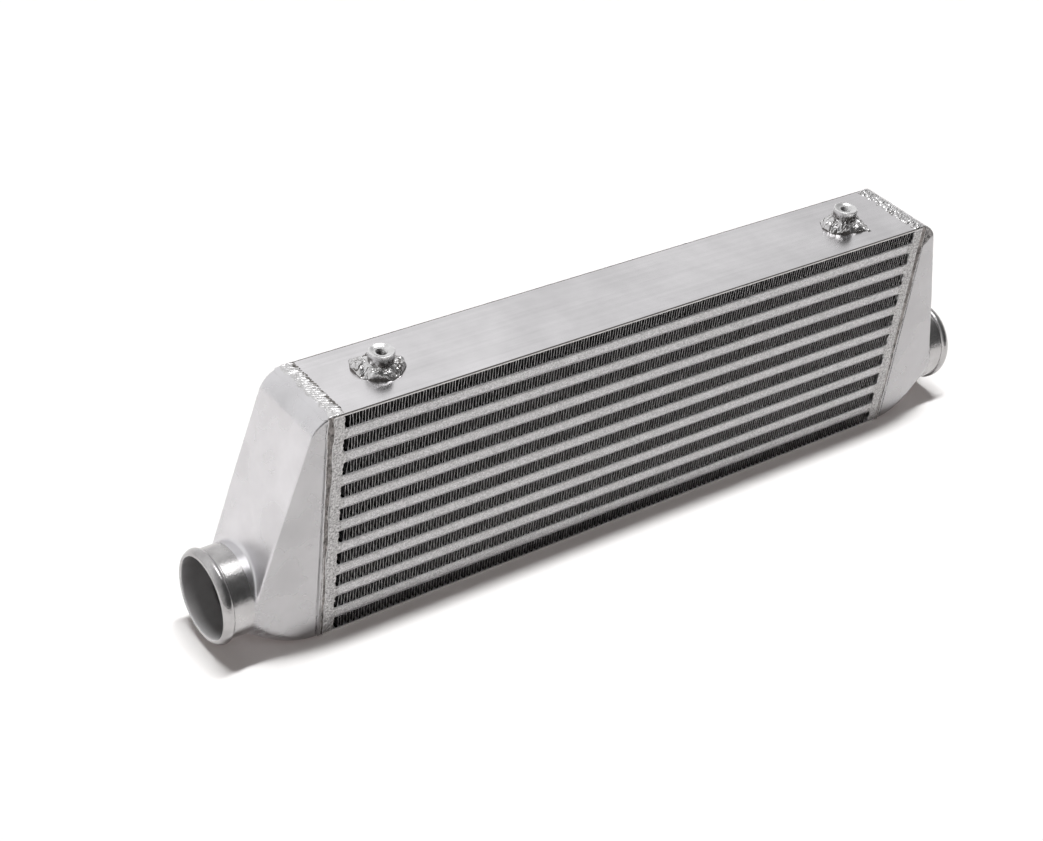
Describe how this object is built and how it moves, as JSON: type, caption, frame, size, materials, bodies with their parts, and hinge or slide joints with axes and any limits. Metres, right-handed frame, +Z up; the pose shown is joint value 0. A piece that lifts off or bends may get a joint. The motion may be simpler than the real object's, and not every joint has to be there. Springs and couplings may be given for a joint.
{
  "type": "intercooler",
  "caption": "Bar-and-plate charge air cooler: finned rectangular core, cast end tanks with beaded hose spigots, two threaded bosses on top.",
  "frame": {"origin": "under the middle of the core, in the plane that the bottom plate stands on", "axes": "+X along the core towards the right tank, +Y through the core from the pictured face to the back, +Z up towards the threaded bosses"},
  "size_m": [0.668, 0.066, 0.194],
  "materials": {
    "side_plate": "polished, faint lengthwise streaks",
    "core_bar": "ground, fine speckle",
    "fin": "brazed, dull",
    "cast_tank": "satin polished casting, turned spigot",
    "weld": "bright rippled weld",
    "boss": "turned, bright"
  },
  "bodies": {
    "root": {"bottom_plate": "side_plate", "top_plate": "side_plate", "ambient_fin_01": "fin", "right_end_bar_01": "core_bar", "left_end_bar_01": "core_bar", "ambient_fin_02": "fin", "right_end_bar_02": "core_bar", "left_end_bar_02": "core_bar", "ambient_fin_03": "fin", "right_end_bar_03": "core_bar", "left_end_bar_03": "core_bar", "ambient_fin_04": "fin", "right_end_bar_04": "core_bar", "left_end_bar_04": "core_bar", "ambient_fin_05": "fin", "right_end_bar_05": "core_bar", "left_end_bar_05": "core_bar", "ambient_fin_06": "fin", "right_end_bar_06": "core_bar", "left_end_bar_06": "core_bar", "ambient_fin_07": "fin", "right_end_bar_07": "core_bar", "left_end_bar_07": "core_bar", "ambient_fin_08": "fin", "right_end_bar_08": "core_bar", "left_end_bar_08": "core_bar", "ambient_fin_09": "fin", "right_end_bar_09": "core_bar", "left_end_bar_09": "core_bar", "ambient_fin_10": "fin", "right_end_bar_10": "core_bar", "left_end_bar_10": "core_bar", "charge_tube_01": "core_bar", "charge_fin_01": "fin", "charge_tube_02": "core_bar", "charge_fin_02": "fin", "charge_tube_03": "core_bar", "charge_fin_03": "fin", "charge_tube_04": "core_bar", "charge_fin_04": "fin", "charge_tube_05": "core_bar", "charge_fin_05": "fin", "charge_tube_06": "core_bar", "charge_fin_06": "fin", "charge_tube_07": "core_bar", "charge_fin_07": "fin", "charge_tube_08": "core_bar", "charge_fin_08": "fin", "charge_tube_09": "core_bar", "charge_fin_09": "fin", "right_end_tank": "cast_tank", "right_tank_weld": "weld", "right_boss": "boss", "right_boss_weld": "weld", "left_end_tank": "cast_tank", "left_tank_weld": "weld", "left_boss": "boss", "left_boss_weld": "weld"}
  },
  "joints": []
}
